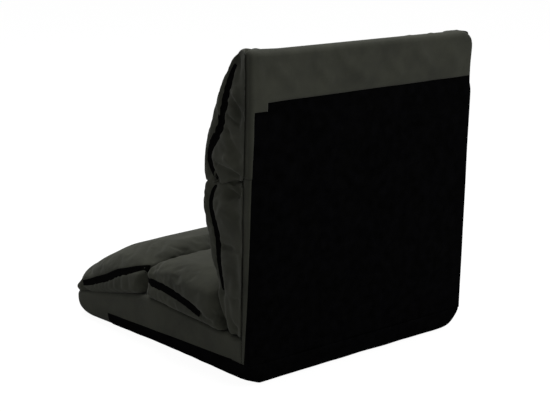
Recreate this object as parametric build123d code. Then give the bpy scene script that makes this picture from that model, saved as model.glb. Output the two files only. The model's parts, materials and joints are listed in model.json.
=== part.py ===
from build123d import *
import math
import os

# A folding floor chair: a tube-framed seat pad flat on the floor, and a tube-framed back
# board that folds forward over the seat or reclines until it lies flat behind it, on two
# ratchet hinges. Four filled cushions, in a suede-like cover, are sewn on the pads.
#
# Millimetres, +Z up, the sitter faces -Y. The origin is on the floor, at the middle of the
# width and of the seat's length. "Ahead" below means ahead of the back's rear face at rest.

os.makedirs("parts", exist_ok=True)

# ---- overall sizes ----
WIDTH = 520.0
BACK_HEIGHT = 580.0
SEAT_LENGTH = 570.0
REST_RECLINE = 1.0
CORNER_RADIUS = 45.0
BOARD_THICKNESS = 20.0
CLOTH = 1.2
LAY_GAP = 0.2
STAND_OFF = 0.3

# ---- seat pad ----
PAD_REAR_HEIGHT = 87.0
PAD_PEAK_HEIGHT = 97.0
PAD_PEAK_AHEAD = 300.0
NOSE_RISE_LENGTH = 80.0
NOSE_LIP_HEIGHT = 28.0
NOSE_TOP_HEIGHT = 38.0
NOSE_TOP_SETBACK = 18.0
FOLD_RELIEF_HEIGHT = 29.0
FOLD_RELIEF_AHEAD = 18.0
PLAN_CORNER_RADIUS = 42.0
EDGE_RADIUS = 38.0
LIP_SETBACK = 13.0
BAND_FRONT_SETBACK = 139.0
BAND_REAR_HEIGHT = 48.0
BAND_FRONT_HEIGHT = 29.0

# ---- back board ----
HOOD_DEPTH = 83.0
BOARD_CORNER_RADIUS = 30.0
LINING_START = 32.0

# ---- tube frames and straps ----
TUBE_DIAMETER = 16.0
TUBE_WALL = 1.2
BEND_RADIUS = 45.0
FRONT_TUBE_SETBACK = 95.0
SEAT_CROSS_AHEAD = 150.0
BACK_CROSS_HEIGHT = 150.0
STRAP_WIDTH = 50.0
STRAP_THICKNESS = 1.0
STRAP_GAP = 42.0
STRAP_LAP = 7.0
FOAM_MARGIN = 1.0

# ---- ratchet hinges, in the hinge's own plane ----
PLATE_THICKNESS = 2.0
PLATE_BOSS_RADIUS = 21.0
PLATE_SHOULDER_ANGLE = 163.0
PLATE_ARM_END = 75.0
PLATE_TOE = 16.0
PLATE_LIFT = 2.5
SEAT_TUBE_END = 50.0
GEAR_THICKNESS = 4.0
GEAR_ROOT_RADIUS = 17.0
GEAR_TIP_RADIUS = 20.0
TOOTH_PITCH = 15.0
TOOTH_COUNT = 7
FIRST_TOOTH_ANGLE = 185.0
TONGUE_END = 60.0
SHOULDER_HEIGHT = 24.0
BACK_TUBE_START = 28.0
PIVOT_PIN_RADIUS = 4.0
SMALL_PIN_RADIUS = 2.5
RIVET_HEAD_RADIUS = 5.0
TUBE_HEAD_RADIUS = 4.0
RIVET_HEAD_HEIGHT = 2.0
PIVOT_HEAD_RADIUS = 7.0
RUNNING_FIT = 0.05
PIN_SEAT = 0.01
SPACER_RADIUS = 7.0
PAWL_TIP_GAP = 0.6
PAWL_TIP_ANGLE = 200.0
PAWL_LENGTH = 16.0
PAWL_EYE_RADIUS = 4.8
PAWL_NOSE_WIDTH = 4.0
PAWL_HEEL = 2.0
SPRING_EYE_WALL = 1.6
LEAF_THICKNESS = 1.0
SPRING_POST_SETBACK = 2.0
RIVET_PITCH = 11.0
HEAD_DOME = 0.6

# ---- cushions: heights up the back, and how far each stands out from the board ----
UPPER_CUSHION_LENGTH = 218.0
TOP_EDGE_DEPTH = 18.0
SHOULDER_DROP = 125.0
SHOULDER_DEPTH = 94.0
PINCH_DEPTH = 100.0
WAIST_RISE = 88.0
WAIST_DEPTH = 64.0
CROTCH_DEPTH = 38.0
SHOULDER_SWELL = 9.0
UPPER_SWELL = 16.0
LOWER_SWELL = 26.0

# ---- cushions: places along the seat, and how high each stands over the pad ----
REAR_PUFF_LEAN = 26.0
REAR_PUFF_HEIGHT = 79.0
VALLEY_HEIGHT = 68.0
VALLEY_LEAN = 10.0
FRONT_PUFF_SETBACK = 58.0
FRONT_PUFF_DROP = 3.0
NOSE_BULGE_HEIGHT = 16.0
NOSE_BULGE_SETBACK = 1.0
REAR_PUFF_SWELL = 14.0
FRONT_PUFF_SWELL = 22.0
END_SWELL = 8.0
SMALL_SWELL = 2.0
EDGE_SETBACK = 2.0

# ---- cushions: their ends and seams ----
BACK_CUSHION_OVERHANG = 2.0
REAR_CUSHION_OVERHANG = 9.0
FRONT_CUSHION_OVERHANG = -1.0
CUSHION_GAP = 0.8
CUSHION_CROWN = 8.0
MIDDLE_SECTIONS = (0, 0.45, 0.75)
END_SECTION_ANGLES = (0, 35, 65, 90)
END_ROUND = 28.0
END_INSET = 12.0
NOSE_END_ROUND = 60.0
NOSE_END_INSET = 26.0
GUSSET_THICKNESS = 1.2
GUSSET_WIDTH = 9.0

HINGE_Y = SEAT_LENGTH / 2 - CORNER_RADIUS
HINGE_Z = CORNER_RADIUS
HALF_WIDTH = WIDTH / 2
TUBE_RADIUS = TUBE_DIAMETER / 2
TUBE_INSET = CLOTH + LAY_GAP + TUBE_RADIUS
TUBE_X = HALF_WIDTH - EDGE_RADIUS
TUBE_ARM = CORNER_RADIUS - TUBE_INSET
BAND_AHEAD = SEAT_LENGTH - BAND_FRONT_SETBACK
PINCH_HEIGHT = BACK_HEIGHT - UPPER_CUSHION_LENGTH
STRAP_LEVEL = TUBE_INSET + TUBE_RADIUS + LAY_GAP
BOARD_LOW = HINGE_Z + CORNER_RADIUS * math.sin(math.radians(REST_RECLINE)) + STAND_OFF
SIDES = {"left": 1, "right": -1}


# ---- shared shapes ----
def ahead(distance):
    """The Y place of a point this far ahead of the back's rear face."""
    return SEAT_LENGTH / 2 - distance


def side_face(*points):
    """A closed flat outline from (ahead, up) points."""
    return Polygon(*[(ahead(a), z) for a, z in points])


def hinge_face(*points):
    """A closed flat outline from points measured from the hinge axis."""
    return Polygon(*[(HINGE_Y + u, HINGE_Z + v) for u, v in points])


def hinge_disc(radius, u=0.0, v=0.0):
    """A disc, its centre measured from the hinge axis."""
    return Pos(HINGE_Y + u, HINGE_Z + v) * Circle(radius)


def across(face, x_from, x_to):
    """A side-view face made solid from one X place to another."""
    return extrude(Plane.YZ.offset(x_from) * face, amount=x_to - x_from, dir=(1, 0, 0))


def around(face, x_middle, thickness):
    """A side-view face made solid, as thick on each side of an X place."""
    return across(face, x_middle - thickness / 2, x_middle + thickness / 2)


def box_between(x0, x1, y0, y1, z0, z1):
    return Pos((x0 + x1) / 2, (y0 + y1) / 2, (z0 + z1) / 2) * Box(x1 - x0, y1 - y0, z1 - z0)


def polar(radius, degrees):
    angle = math.radians(degrees)
    return radius * math.cos(angle), radius * math.sin(angle)


def tube_along(path):
    """A hollow tube, swept along a path of straight runs and bends."""
    start = Plane(origin=path @ 0, z_dir=path % 0)
    ring = Circle(TUBE_RADIUS) - Circle(TUBE_RADIUS - TUBE_WALL)
    return sweep(start * ring, path=path)


def write(name, *solids):
    """Keep one node: its solids go into one file, named after it."""
    bodies = [solid for shape in solids for solid in shape.solids()]
    part = bodies[0] if len(bodies) == 1 else Compound(children=bodies)
    export_step(part, f"parts/{name}.step")


def write_back(name, *solids):
    """Keep a node of the back, leaned to its rest angle about the hinge axis."""
    axis = Axis((0, HINGE_Y, HINGE_Z), (1, 0, 0))
    write(name, *[shape.rotate(axis, -REST_RECLINE) for shape in solids])


# ---- cushions ----
def bowed(start, end, bow):
    """An edge between two points: straight, or an arc that stands out to the right."""
    if bow == 0:
        return Line(start, end)
    run = (end[0] - start[0], end[1] - start[1])
    length = math.hypot(*run)
    middle = (
        (start[0] + end[0]) / 2 + bow * run[1] / length,
        (start[1] + end[1]) / 2 - bow * run[0] / length,
    )
    return ThreePointArc(start, middle, end)


def on_pad(along, out):
    """The (ahead, up) place of a point this far ahead and this high over the seat pad."""
    return along, pad_top(along) + CUSHION_GAP + out


def on_board(along, out):
    """The (ahead, up) place of a point this high up and this far in front of the board."""
    return BOARD_THICKNESS + STAND_OFF + out, along


def cushion(corners, bows, half_width, place, end_round=END_ROUND, end_inset=END_INSET):
    """A filled cushion across the chair: full in the middle, drawn in towards its ends.

    corners: the middle section's corners in order round it, as (along, out) of its base;
    bows: how far each side, from its corner to the next, swells outwards;
    place: on_pad or on_board.
    """
    along_low, along_high = min(a for a, out in corners), max(a for a, out in corners)
    middle, half_length = (along_low + along_high) / 2, (along_high - along_low) / 2
    thickness = max(out for a, out in corners)
    stations = [(share * half_width, CUSHION_CROWN * share**2, 0) for share in MIDDLE_SECTIONS]
    for angle in END_SECTION_ANGLES:
        turn = math.radians(angle)
        x = half_width - end_round * (1 - math.sin(turn))
        drawn = end_inset * (1 - math.cos(turn))
        stations.append((x, CUSHION_CROWN + drawn, drawn))
    mirrored = [(-x, lowered, drawn) for x, lowered, drawn in reversed(stations[1:])]
    sections = []
    for x, lowered, drawn in mirrored + stations:
        shorter, flatter = 1 - drawn / half_length, 1 - lowered / thickness
        places = [place(middle + (a - middle) * shorter, out * flatter) for a, out in corners]
        points = [(ahead(a), z) for a, z in places]
        turns = zip(points, points[1:] + points[:1], bows)
        edges = [bowed(start, end, bow * flatter) for start, end, bow in turns]
        sections.append(Plane.YZ.offset(x) * make_face(edges))
    return loft(sections, ruled=True)


def gusset(route, place, x_seat, side, end_share=0.35):
    """A flat strip on a cushion's end, narrower at its ends.

    route: its middle line, as (along, out) points; place: on_pad or on_board.
    """
    points = [place(*point) for point in route]
    upper, lower = [], []
    for i, (a, z) in enumerate(points):
        before, after = points[max(i - 1, 0)], points[min(i + 1, len(points) - 1)]
        run = (after[0] - before[0], after[1] - before[1])
        length = math.hypot(*run)
        at_end = i in (0, len(points) - 1)
        half = GUSSET_WIDTH / 2 * (end_share if at_end else 1)
        normal = (-run[1] / length * half, run[0] / length * half)
        upper.append((a + normal[0], z + normal[1]))
        lower.append((a - normal[0], z - normal[1]))
    face = side_face(*upper, *reversed(lower))
    near, far = sorted((side * x_seat, side * (x_seat + GUSSET_THICKNESS)))
    return across(face, near, far)


def pad_top(distance):
    """Height of the seat pad's top at a distance ahead of the back's rear face."""
    if distance < PAD_PEAK_AHEAD:
        share = (distance - CORNER_RADIUS) / (PAD_PEAK_AHEAD - CORNER_RADIUS)
        return PAD_REAR_HEIGHT + share * (PAD_PEAK_HEIGHT - PAD_REAR_HEIGHT)
    nose_top = SEAT_LENGTH - NOSE_TOP_SETBACK
    share = (distance - PAD_PEAK_AHEAD) / (nose_top - PAD_PEAK_AHEAD)
    return PAD_PEAK_HEIGHT + share * (NOSE_TOP_HEIGHT - PAD_PEAK_HEIGHT)


# ---- seat pad: foam, covers, frame ----
def pad_block(inset, opened=0.0):
    """The seat pad's body, drawn in by a skin. Opened: run on past its top and rear."""
    rear = CORNER_RADIUS + STAND_OFF
    nose_start = (ahead(SEAT_LENGTH - NOSE_RISE_LENGTH), 0)
    nose_lip = (ahead(SEAT_LENGTH - LIP_SETBACK), NOSE_LIP_HEIGHT)
    nose_top = (ahead(SEAT_LENGTH - NOSE_TOP_SETBACK), NOSE_TOP_HEIGHT)
    relief = (ahead(rear), HINGE_Z + FOLD_RELIEF_HEIGHT)
    relief_ahead = CORNER_RADIUS + FOLD_RELIEF_AHEAD
    relief_top = (ahead(relief_ahead), pad_top(relief_ahead))
    peak = (ahead(PAD_PEAK_AHEAD), PAD_PEAK_HEIGHT)
    outline = [
        Line((ahead(rear), 0), nose_start),
        TangentArc(nose_start, nose_lip, tangent=(-1, 0)),
        Line(nose_lip, nose_top),
        Line(nose_top, peak),
        Line(peak, relief_top),
        Line(relief_top, relief),
        Line(relief, (ahead(rear), 0)),
    ]
    profile = make_face(outline)
    if inset:
        profile = offset(profile, amount=-inset, kind=Kind.INTERSECTION)
    if opened:
        profile = profile + Pos(0, opened) * profile + Pos(opened, 0) * profile
    half = HALF_WIDTH - inset
    side_view = across(profile, -half, half)
    length = 2 * SEAT_LENGTH
    front = ahead(SEAT_LENGTH - LIP_SETBACK - inset)
    plan = Pos(0, front + length / 2) * RectangleRounded(2 * half, length, PLAN_CORNER_RADIUS - inset)
    return side_view & extrude(plan, amount=SEAT_LENGTH, both=True) & soft_edged_run(inset)


def soft_edged_run(inset):
    """A long bar along Y with the pad's width and its rounded lower edges."""
    height = 2 * PAD_PEAK_HEIGHT
    outline = RectangleRounded(WIDTH - 2 * inset, height, EDGE_RADIUS - inset)
    return extrude(Plane.XZ * (Pos(0, inset + height / 2) * outline), amount=2 * SEAT_LENGTH, both=True)


def seat_covers():
    """The thin black cloth under the pad and up its sides, and the suede-like cover above."""
    skin = pad_block(0) - pad_block(CLOTH, opened=2 * CLOTH)
    below = -STAND_OFF
    slope = (BAND_REAR_HEIGHT - BAND_FRONT_HEIGHT) / BAND_AHEAD
    band = side_face((0, below), (BAND_AHEAD, below), (BAND_AHEAD, BAND_FRONT_HEIGHT),
                     (0, BAND_FRONT_HEIGHT + slope * BAND_AHEAD))
    band_block = across(band, -WIDTH, WIDTH)
    write("seat_backing_cloth", skin & band_block)
    write("seat_suede_cover", skin - band_block)


def seat_foam():
    """The pad's foam slab, on the straps, with a slot at each hinge."""
    bottom = STRAP_LEVEL + 2 * STRAP_THICKNESS + 2 * LAY_GAP
    slab = pad_block(CLOTH + LAY_GAP)
    slab = slab & box_between(-WIDTH, WIDTH, ahead(SEAT_LENGTH), ahead(0), bottom, BACK_HEIGHT)
    slot_half = TUBE_RADIUS + PLATE_THICKNESS + RIVET_HEAD_HEIGHT + FOAM_MARGIN + LAY_GAP
    for side in SIDES.values():
        slab = slab - box_between(
            side * TUBE_X - slot_half, side * TUBE_X + slot_half,
            HINGE_Y - PLATE_ARM_END - FOAM_MARGIN, ahead(0), 0, BACK_HEIGHT)
    write("seat_foam_pad", slab)


def seat_frame():
    """Two side rails, a bent front tube and a rear cross tube, low in the pad."""
    bend_start = SEAT_LENGTH - FRONT_TUBE_SETBACK - BEND_RADIUS
    rear_end = HINGE_Y - SEAT_TUBE_END
    for name, side in SIDES.items():
        path = Line((side * TUBE_X, rear_end, TUBE_INSET), (side * TUBE_X, ahead(bend_start), TUBE_INSET))
        rail = tube_along(path)
        for u in seat_rivet_places():
            hole = Pos(side * TUBE_X, HINGE_Y + u, TUBE_INSET) * Rot(0, 90, 0)
            rail = rail - hole * Cylinder(SMALL_PIN_RADIUS + PIN_SEAT, 2 * TUBE_DIAMETER)
        write(f"{name}_seat_rail", rail)
    front_y = ahead(bend_start) - BEND_RADIUS
    corners = [(TUBE_X, ahead(bend_start), TUBE_INSET), (TUBE_X, front_y, TUBE_INSET),
               (-TUBE_X, front_y, TUBE_INSET), (-TUBE_X, ahead(bend_start), TUBE_INSET)]
    write("seat_front_tube", tube_along(bent_path(corners)))
    reach = TUBE_X - TUBE_RADIUS - STAND_OFF
    cross_y = ahead(SEAT_CROSS_AHEAD)
    write("seat_cross_tube", tube_along(Line((-reach, cross_y, TUBE_INSET), (reach, cross_y, TUBE_INSET))))


def bent_path(corners):
    """A U of three runs with two quarter bends that start where its end runs do."""
    first, second, third, last = [Vector(c) for c in corners]
    inward = (third - second).normalized() * BEND_RADIUS
    arc_a_end, arc_b_start = second + inward, third - inward
    return Wire([
        Edge.make_tangent_arc(first, second - first, arc_a_end),
        Edge.make_line(arc_a_end, arc_b_start),
        Edge.make_tangent_arc(arc_b_start, inward, last),
    ])


def strap_places(low, high):
    """Centres of straps laid as evenly as their gap allows between two limits."""
    count = int((high - low + STRAP_GAP) // (STRAP_WIDTH + STRAP_GAP))
    pitch = STRAP_WIDTH + STRAP_GAP
    start = (low + high) / 2 - pitch * (count - 1) / 2
    return [start + pitch * i for i in range(count)]


def seat_straps():
    """Flat straps across the side rails, and lengthwise straps over them."""
    reach = TUBE_X + STRAP_LAP
    half = STRAP_WIDTH / 2
    front_limit = SEAT_LENGTH - FRONT_TUBE_SETBACK
    rows = strap_places(SEAT_CROSS_AHEAD, front_limit - BEND_RADIUS)
    crossing = [
        box_between(-reach, reach, ahead(a + half), ahead(a - half),
                    STRAP_LEVEL, STRAP_LEVEL + STRAP_THICKNESS)
        for a in rows
    ]
    top = STRAP_LEVEL + STRAP_THICKNESS + LAY_GAP
    columns = strap_places(-TUBE_X + STRAP_GAP, TUBE_X - STRAP_GAP)
    lengthwise = [
        box_between(x - half, x + half, ahead(front_limit + STRAP_LAP), ahead(SEAT_CROSS_AHEAD - STRAP_LAP),
                    top, top + STRAP_THICKNESS)
        for x in columns
    ]
    write("seat_webbing", *crossing, *lengthwise)


# ---- ratchet hinges ----
def seat_rivet_places():
    """Where rivets join the hinge plates and a seat rail, measured from the hinge axis."""
    last = -PLATE_ARM_END + SMALL_PIN_RADIUS * 2
    return last, last + RIVET_PITCH


def back_rivet_places():
    """Where rivets join a gear arm and a back rail, measured up from the hinge axis."""
    last = TONGUE_END - SMALL_PIN_RADIUS * 2
    return last, last - RIVET_PITCH


def pawl_places():
    """The pawl's tip beside the gear, and its pin, on the gear's tangent below the tip."""
    tip = polar(GEAR_TIP_RADIUS + PAWL_TIP_GAP, PAWL_TIP_ANGLE)
    along = polar(PAWL_LENGTH, PAWL_TIP_ANGLE + 90)
    return tip, (tip[0] + along[0], tip[1] + along[1])


def spring_post():
    """Centre of the post that the pawl's spring is wound on."""
    return SPRING_POST_SETBACK - SEAT_TUBE_END, SPRING_POST_SETBACK - GEAR_ROOT_RADIUS


def cross_pin(x_middle, place, radius, grip, head_radius, head_height):
    """A rivet across the hinge: its shank, and a domed head at each end."""
    u, v = place
    shank = around(hinge_disc(radius, u, v), x_middle, grip)
    heads = []
    for end in (-1, 1):
        seat = x_middle + end * grip / 2
        face = hinge_disc(head_radius, u, v)
        head = across(face, *sorted((seat, seat + end * head_height)))
        rim = head.edges().filter_by(GeomType.CIRCLE).sort_by(Axis.X)[-1 if end > 0 else 0]
        heads.append(fillet(rim, head_height * HEAD_DOME))
    return shank + heads[0] + heads[1]


def hinge_plates(x_middle):
    """The two steel side plates that carry the gear, the pawl and the rail's end."""
    low = -TUBE_ARM - TUBE_RADIUS + PLATE_LIFT
    shoulder = polar(PLATE_BOSS_RADIUS, PLATE_SHOULDER_ANGLE)
    arm = hinge_face((0, PLATE_BOSS_RADIUS), shoulder, (-PLATE_ARM_END, -TUBE_ARM + TUBE_RADIUS),
                     (-PLATE_ARM_END, low), (-PLATE_TOE, low), (0, -PLATE_BOSS_RADIUS))
    face = hinge_disc(PLATE_BOSS_RADIUS) + arm
    face = face - hinge_disc(PIVOT_PIN_RADIUS + PIN_SEAT)
    for place in [pawl_places()[1], spring_post()] + [(u, -TUBE_ARM) for u in seat_rivet_places()]:
        face = face - hinge_disc(SMALL_PIN_RADIUS + PIN_SEAT, *place)
    offset_x = TUBE_RADIUS + LAY_GAP + PLATE_THICKNESS / 2
    return [around(face, x_middle + end * offset_x, PLATE_THICKNESS) for end in (-1, 1)]


def gear_arm(x_middle):
    """The toothed disc on the pivot, and its tongue up into the back rail."""
    centre = (0, 0)
    teeth = []
    for i in range(TOOTH_COUNT):
        angle = FIRST_TOOTH_ANGLE + i * TOOTH_PITCH
        teeth.append(polar(GEAR_ROOT_RADIUS, angle))
        teeth.append(polar(GEAR_TIP_RADIUS, angle))
    teeth.append(polar(GEAR_ROOT_RADIUS, FIRST_TOOTH_ANGLE + TOOTH_COUNT * TOOTH_PITCH))
    tongue_half = math.sqrt((TUBE_RADIUS - TUBE_WALL) ** 2 - (GEAR_THICKNESS / 2) ** 2) - STAND_OFF
    near, far = TUBE_ARM - tongue_half, TUBE_ARM + tongue_half
    half_root = GEAR_ROOT_RADIUS / 2
    arm = hinge_face((half_root, -half_root), (far, half_root), (far, TONGUE_END), (near, TONGUE_END),
                     (near, SHOULDER_HEIGHT), (half_root, half_root * math.sqrt(3)))
    face = hinge_disc(GEAR_ROOT_RADIUS) + hinge_face(centre, *teeth) + arm
    face = face - hinge_disc(PIVOT_PIN_RADIUS + RUNNING_FIT)
    for v in back_rivet_places():
        face = face - hinge_disc(SMALL_PIN_RADIUS + PIN_SEAT, TUBE_ARM, v)
    return around(face, x_middle, GEAR_THICKNESS)


def pawl(x_middle):
    """The small lever that locks the gear: an eye, and a pointed nose at the teeth."""
    tip, pin = pawl_places()
    out = polar(1, PAWL_TIP_ANGLE)
    nose = hinge_face(
        tip,
        (tip[0] + out[0] * PAWL_NOSE_WIDTH, tip[1] + out[1] * PAWL_NOSE_WIDTH),
        (pin[0] + out[0] * PAWL_EYE_RADIUS, pin[1] + out[1] * PAWL_EYE_RADIUS),
        (pin[0] - out[0] * PAWL_HEEL, pin[1] - out[1] * PAWL_HEEL),
    )
    face = hinge_disc(PAWL_EYE_RADIUS, *pin) + nose - hinge_disc(SMALL_PIN_RADIUS + RUNNING_FIT, *pin)
    return around(face, x_middle, GEAR_THICKNESS)


def pawl_spring(x_middle):
    """A flat spring: an eye on its post, and a leaf that reaches the pawl's nose."""
    tip, pin = pawl_places()
    out = polar(1, PAWL_TIP_ANGLE)
    post = spring_post()
    hole = hinge_disc(SMALL_PIN_RADIUS + PIN_SEAT, *post)
    eye = hinge_disc(SMALL_PIN_RADIUS + SPRING_EYE_WALL, *post)
    reach = PAWL_NOSE_WIDTH + STAND_OFF
    end = (tip[0] + out[0] * reach, tip[1] + out[1] * reach - LEAF_THICKNESS)
    start = (post[0] + LEAF_THICKNESS, post[1] + SMALL_PIN_RADIUS + LEAF_THICKNESS / 2)
    leaf = hinge_face(start, end, (end[0], end[1] + LEAF_THICKNESS), (post[0], start[1] + LEAF_THICKNESS))
    return around(eye + leaf - hole, x_middle, GEAR_THICKNESS)


def spacers(x_middle):
    """Washers each side of the gear, which keep it in the middle of the plates."""
    face = hinge_disc(SPACER_RADIUS) - hinge_disc(PIVOT_PIN_RADIUS + PIN_SEAT)
    from_gear = GEAR_THICKNESS / 2 + RUNNING_FIT
    to_plate = TUBE_RADIUS + LAY_GAP
    return [
        across(face, *sorted((x_middle + end * from_gear, x_middle + end * to_plate)))
        for end in (-1, 1)
    ]


def hinges():
    grip = 2 * (TUBE_RADIUS + LAY_GAP + PLATE_THICKNESS)
    tip, pawl_pin = pawl_places()
    pivots, pawl_pins, posts, seat_rivets, back_rivets, washers = [], [], [], [], [], []
    for name, side in SIDES.items():
        x = side * TUBE_X
        write(f"{name}_hinge_plates", *hinge_plates(x))
        write_back(f"{name}_gear_arm", gear_arm(x))
        write(f"{name}_pawl", pawl(x))
        write(f"{name}_pawl_spring", pawl_spring(x))
        small = (SMALL_PIN_RADIUS, grip, RIVET_HEAD_RADIUS, RIVET_HEAD_HEIGHT)
        pivots.append(cross_pin(x, (0, 0), PIVOT_PIN_RADIUS, grip, PIVOT_HEAD_RADIUS, RIVET_HEAD_HEIGHT))
        pawl_pins.append(cross_pin(x, pawl_pin, *small))
        posts.append(cross_pin(x, spring_post(), *small))
        seat_rivets += [cross_pin(x, (u, -TUBE_ARM), *small) for u in seat_rivet_places()]
        on_tube = (SMALL_PIN_RADIUS, TUBE_DIAMETER, TUBE_HEAD_RADIUS, RIVET_HEAD_HEIGHT)
        back_rivets += [cross_pin(x, (TUBE_ARM, v), *on_tube) for v in back_rivet_places()]
        washers += spacers(x)
    write("hinge_pivot_pins", *pivots)
    write("pawl_pins", *pawl_pins)
    write("spring_posts", *posts)
    write("seat_frame_rivets", *seat_rivets)
    write_back("back_frame_rivets", *back_rivets)
    write("hinge_spacers", *washers)


# ---- soft corner over the hinges ----
def corner():
    """The cloth, foam and side gussets that bend where the back meets the seat."""
    inner = CORNER_RADIUS - CLOTH
    below = hinge_face((0, 0), (CORNER_RADIUS, 0), (CORNER_RADIUS, -CORNER_RADIUS), (0, -CORNER_RADIUS))
    outside = across(hinge_disc(CORNER_RADIUS) & below, -WIDTH, WIDTH) & soft_edged_run(0)
    inside = across(hinge_disc(inner), -WIDTH, WIDTH) & soft_edged_run(CLOTH)
    write("corner_backing_cloth", outside - inside)
    front = CORNER_RADIUS - BOARD_THICKNESS - STAND_OFF
    top = PAD_REAR_HEIGHT - HINGE_Z - LAY_GAP
    relief_rise = pad_top(CORNER_RADIUS + FOLD_RELIEF_AHEAD) - HINGE_Z - FOLD_RELIEF_HEIGHT
    relief_u = 2 * STAND_OFF - FOLD_RELIEF_AHEAD * (top - FOLD_RELIEF_HEIGHT) / relief_rise
    wedge = hinge_face((front, STAND_OFF), (front, top), (relief_u, top),
                       (2 * STAND_OFF, FOLD_RELIEF_HEIGHT), (2 * STAND_OFF, STAND_OFF))
    for name, side in SIDES.items():
        near, far = sorted((side * (HALF_WIDTH - CLOTH), side * HALF_WIDTH))
        write(f"{name}_corner_gusset", across(wedge, near, far))
    bridge = hinge_face((0, 0), (front, 0), (front, FOAM_MARGIN), (0, FOAM_MARGIN))
    foam_face = (hinge_disc(inner - LAY_GAP) & below) + wedge + bridge
    slot_half = TUBE_RADIUS + PLATE_THICKNESS + RIVET_HEAD_HEIGHT + FOAM_MARGIN
    reach = TUBE_X - slot_half
    write("corner_foam", across(foam_face, -reach, reach))


# ---- back board: covers, frame, foam ----
def board_block(inset, from_rear, to_front, low, high):
    """A slab of the back board between two depths and two heights, drawn in at its sides."""
    height = BACK_HEIGHT - inset - low
    half = HALF_WIDTH - inset
    outline = RectangleRounded(2 * half, 2 * height, BOARD_CORNER_RADIUS - inset)
    face = Plane.XZ * (Pos(0, low) * outline)
    slab = extrude(face, amount=WIDTH, both=True)
    return slab & box_between(-WIDTH, WIDTH, ahead(to_front), ahead(from_rear), low, high)


def back_covers():
    low = BOARD_LOW
    hood_low = BACK_HEIGHT - HOOD_DEPTH
    lining_low = HINGE_Z + LINING_START
    outside = board_block(0, 0, BOARD_THICKNESS, low, BACK_HEIGHT)
    hollow = board_block(CLOTH, CLOTH, BOARD_THICKNESS - CLOTH, low, BACK_HEIGHT)
    panel = board_block(CLOTH, 0, CLOTH, low, hood_low)
    mouth = board_block(CLOTH, CLOTH, BOARD_THICKNESS, low, lining_low)
    skin = outside - hollow - mouth - panel
    hood_zone = box_between(-WIDTH, WIDTH, ahead(BOARD_THICKNESS), ahead(0), hood_low, BACK_HEIGHT)
    write_back("back_suede_cover", skin - hood_zone)
    write_back("back_suede_hood", skin & hood_zone)
    write_back("back_backing_cloth", panel)


def back_frame():
    """Two rails on the gear arms, a bent top tube and a cross tube, inside the board."""
    tube_y = ahead(TUBE_INSET)
    bend_start = BACK_HEIGHT - TUBE_INSET - BEND_RADIUS
    low = HINGE_Z + BACK_TUBE_START
    for name, side in SIDES.items():
        rail = tube_along(Line((side * TUBE_X, tube_y, low), (side * TUBE_X, tube_y, bend_start)))
        for v in back_rivet_places():
            hole = Pos(side * TUBE_X, tube_y, HINGE_Z + v) * Rot(0, 90, 0)
            rail = rail - hole * Cylinder(SMALL_PIN_RADIUS + PIN_SEAT, 2 * TUBE_DIAMETER)
        write_back(f"{name}_back_rail", rail)
    top = bend_start + BEND_RADIUS
    corners = [(TUBE_X, tube_y, bend_start), (TUBE_X, tube_y, top),
               (-TUBE_X, tube_y, top), (-TUBE_X, tube_y, bend_start)]
    write_back("back_top_tube", tube_along(bent_path(corners)))
    reach = TUBE_X - TUBE_RADIUS - STAND_OFF
    path = Line((-reach, tube_y, BACK_CROSS_HEIGHT), (reach, tube_y, BACK_CROSS_HEIGHT))
    write_back("back_cross_tube", tube_along(path))


def back_straps_and_foam():
    reach = TUBE_X + STRAP_LAP
    half = STRAP_WIDTH / 2
    top = BACK_HEIGHT - TUBE_INSET
    near, far = STRAP_LEVEL, STRAP_LEVEL + STRAP_THICKNESS
    rows = strap_places(BACK_CROSS_HEIGHT, top - BEND_RADIUS)
    straps = [box_between(-reach, reach, ahead(far), ahead(near), z - half, z + half) for z in rows]
    write_back("back_webbing", *straps)
    foam_low = BACK_CROSS_HEIGHT + TUBE_RADIUS + FOAM_MARGIN
    foam_high = top - TUBE_RADIUS - FOAM_MARGIN
    foam_half = TUBE_X - TUBE_RADIUS - FOAM_MARGIN
    outline = RectangleRounded(2 * foam_half, foam_high - foam_low, BEND_RADIUS - TUBE_RADIUS)
    face = Plane.XZ.offset(-ahead(CLOTH + LAY_GAP)) * (Pos(0, (foam_low + foam_high) / 2) * outline)
    thickness = STRAP_LEVEL - LAY_GAP - CLOTH - LAY_GAP
    write_back("back_foam_pad", extrude(face, amount=thickness, dir=(0, -1, 0)))


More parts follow.
